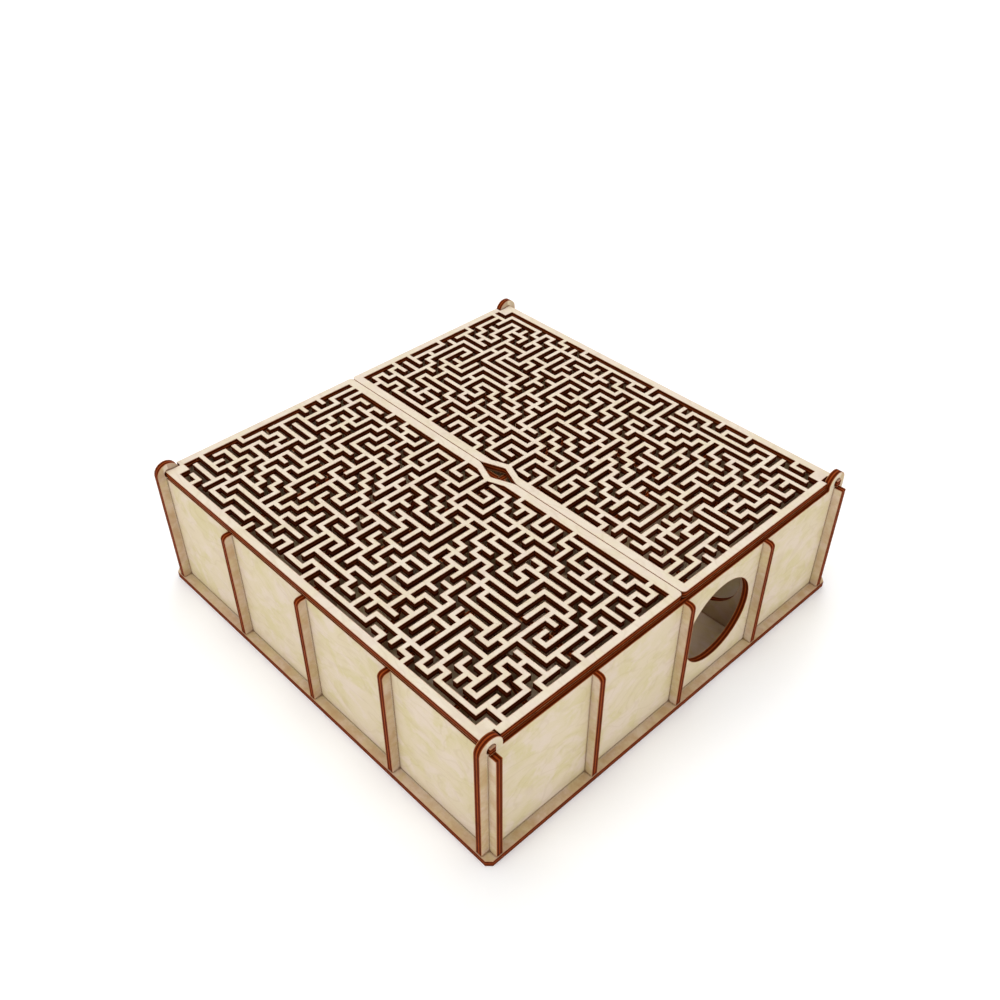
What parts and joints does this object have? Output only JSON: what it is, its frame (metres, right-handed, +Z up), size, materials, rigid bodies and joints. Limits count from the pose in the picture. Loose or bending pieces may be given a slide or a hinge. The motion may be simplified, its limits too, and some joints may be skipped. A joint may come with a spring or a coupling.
{
  "type": "small pet maze house",
  "caption": "Flat-pack plywood box of small rooms with round doorways, closed by two hinged lids of maze fretwork.",
  "frame": {"origin": "centre of the base plate's underside", "axes": "+X to the right along the wall with the entrance, +Y from that wall to the back, +Z up"},
  "size_m": [0.2114, 0.2114, 0.0654],
  "materials": {
    "box_plywood": "matt, unvarnished birch plywood with scorched laser-cut edges",
    "lid_plywood": "matt, unvarnished birch plywood with scorched laser-cut edges"
  },
  "bodies": {
    "box": {"base_plate": "box_plywood", "front_wall": "box_plywood", "back_wall": "box_plywood", "left_wall": "box_plywood", "right_wall": "box_plywood", "divider_x_front": "box_plywood", "divider_x_middle": "box_plywood", "divider_x_back": "box_plywood", "divider_y_left": "box_plywood", "divider_y_middle": "box_plywood", "divider_y_right": "box_plywood"},
    "left_lid": {"left_door": "lid_plywood"},
    "right_lid": {"right_door": "lid_plywood"}
  },
  "joints": [
    {"name": "left_door_hinge", "type": "hinge", "parent": "box", "child": "left_lid", "pos_m": [-0.1, 0, 0.0606], "axis": [0, -1, 0], "range_deg": [0, 185]},
    {"name": "right_door_hinge", "type": "hinge", "parent": "box", "child": "right_lid", "pos_m": [0.1, 0, 0.0606], "axis": [0, 1, 0], "range_deg": [0, 185]}
  ]
}
